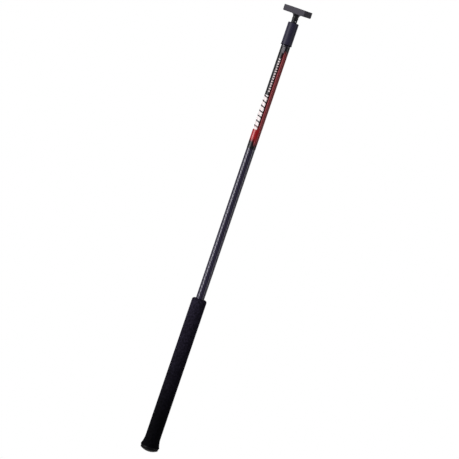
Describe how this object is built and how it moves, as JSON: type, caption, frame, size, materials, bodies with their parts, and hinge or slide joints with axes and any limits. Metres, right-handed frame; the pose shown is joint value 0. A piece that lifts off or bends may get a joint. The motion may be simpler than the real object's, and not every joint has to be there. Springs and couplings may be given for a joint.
{
  "type": "tiller extension",
  "caption": "Slim tapered pole with a foam grip and a domed end cap, hung by a flexible neck from a bar that bolts to a boat's tiller.",
  "frame": {"origin": "centre of the two bolt holes, on the bar's flat mounting face", "axes": "+Z out of the mounting face towards the tiller, +X along the bar, the pole hangs down along -Z"},
  "size_m": [0.06, 0.0376, 0.9],
  "materials": {
    "bar_nylon": "satin",
    "neck_elastomer": "matte",
    "plug_nylon": "satin",
    "pin_steel": "satin",
    "collar_nylon": "satin",
    "tube_carbon": "gloss",
    "printed_film": "gloss",
    "grip_foam": "matte",
    "cap_rubber": "matte"
  },
  "bodies": {
    "base": {"base_bar": "bar_nylon"},
    "neck": {"flexible_neck": "neck_elastomer"},
    "pole": {"end_plug": "plug_nylon", "cross_pin": "pin_steel", "collar": "collar_nylon", "tube": "tube_carbon", "graphic_sleeve": "printed_film", "foam_grip": "grip_foam", "end_cap": "cap_rubber"}
  },
  "joints": [
    {"name": "neck_bend_across", "type": "hinge", "parent": "base", "child": "neck", "pos_m": [0, 0, -0.01503], "axis": [1, 0, 0], "range_deg": [-55, 55], "stiffness_Nm_per_rad": 0.6, "deforming": ["flexible_neck"]},
    {"name": "neck_bend_along", "type": "hinge", "parent": "neck", "child": "pole", "pos_m": [0, 0, -0.02033], "axis": [0, 1, 0], "range_deg": [-45, 45], "stiffness_Nm_per_rad": 0.6, "deforming": ["flexible_neck"]}
  ]
}
